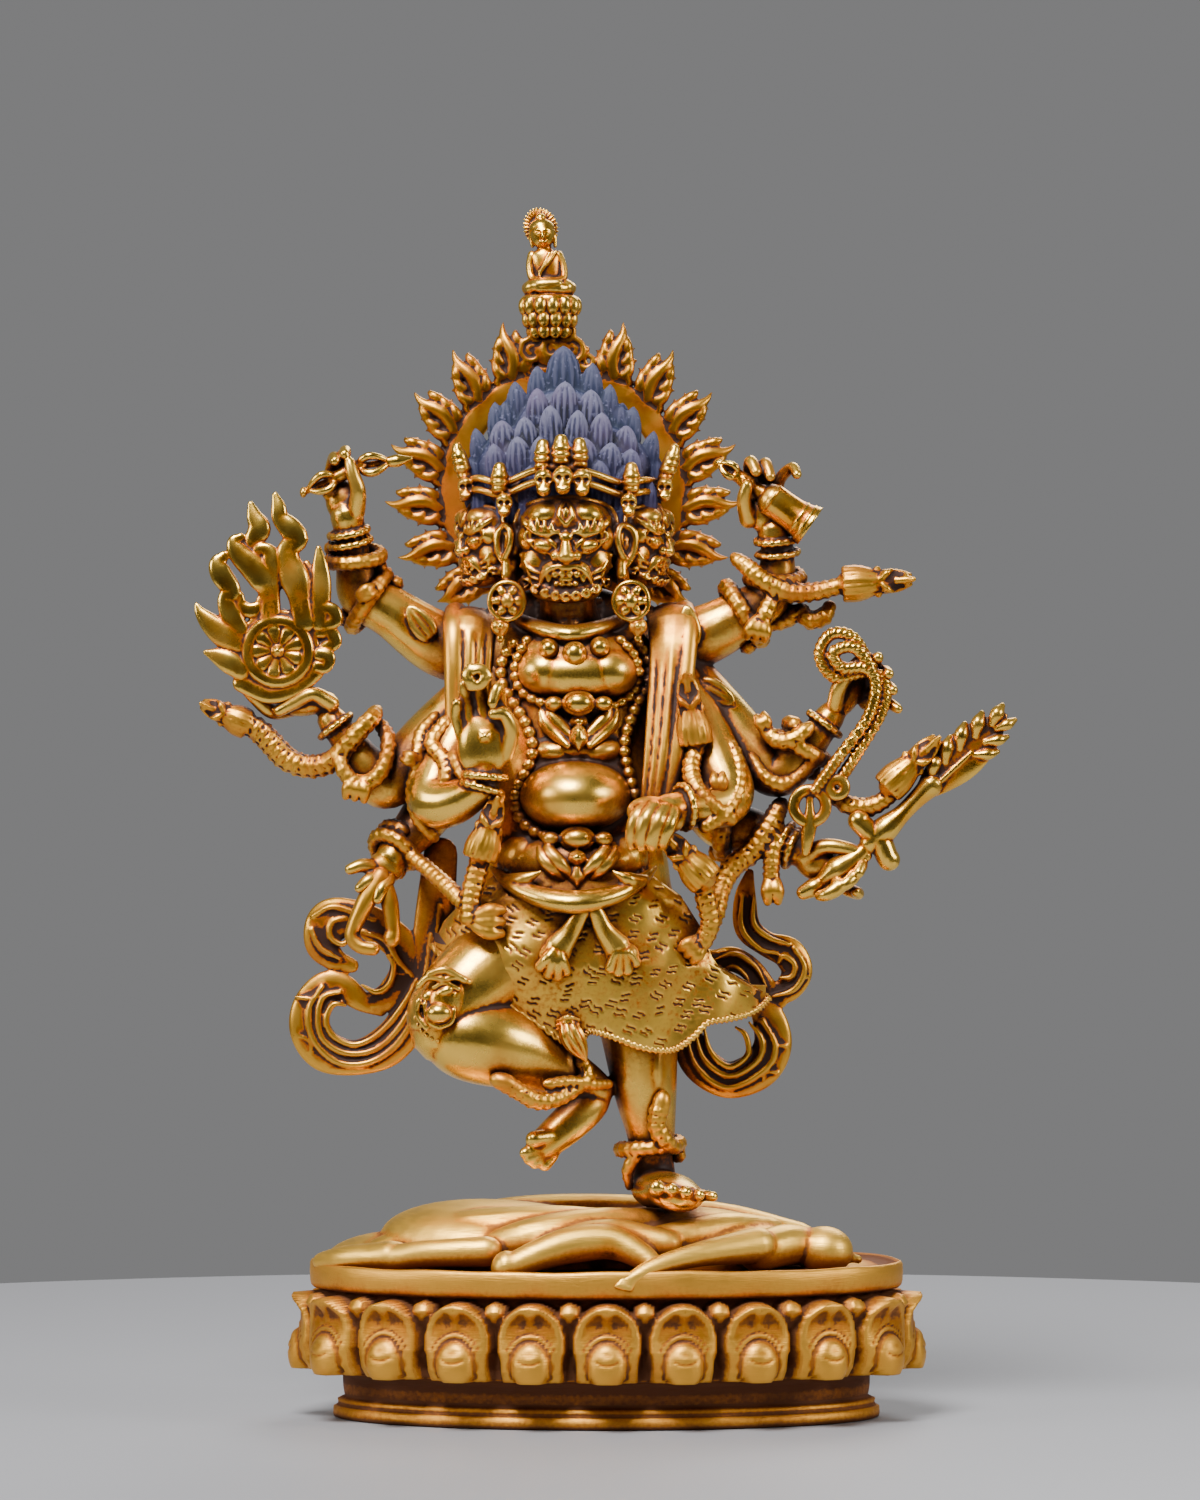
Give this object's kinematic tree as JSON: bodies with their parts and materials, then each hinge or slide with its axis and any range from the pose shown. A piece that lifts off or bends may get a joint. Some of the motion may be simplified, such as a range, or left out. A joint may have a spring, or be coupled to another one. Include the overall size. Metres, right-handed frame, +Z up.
{
  "type": "mahakala figure",
  "caption": "Gilt copper statue of a many-armed protector dancing on fallen bodies over an oval lotus plinth, with a ring of flames behind its heads.",
  "frame": {"origin": "centre of the plinth's flat underside", "axes": "+Z up, -Y the side that the statue faces, +X to the statue's left, which is the viewer's right"},
  "size_m": [0.2197, 0.1, 0.3273],
  "materials": {
    "satin_gilt": "satin fire-gilt copper with brushed marks, small pits and brown patina in the recesses",
    "gilt": "fire-gilt copper, polished on the high parts and dark red-brown in the recesses",
    "bright_gilt": "fire-gilt copper, polished, with brown patina in the recesses"
  },
  "bodies": {
    "root": {"lotus_plinth": "satin_gilt", "dancing_figure": "gilt", "flame_halo": "gilt", "fire_wheel": "bright_gilt", "thunderbolt": "bright_gilt", "hand_bell": "bright_gilt", "rope_noose": "bright_gilt", "bone_blade": "bright_gilt"}
  },
  "joints": []
}
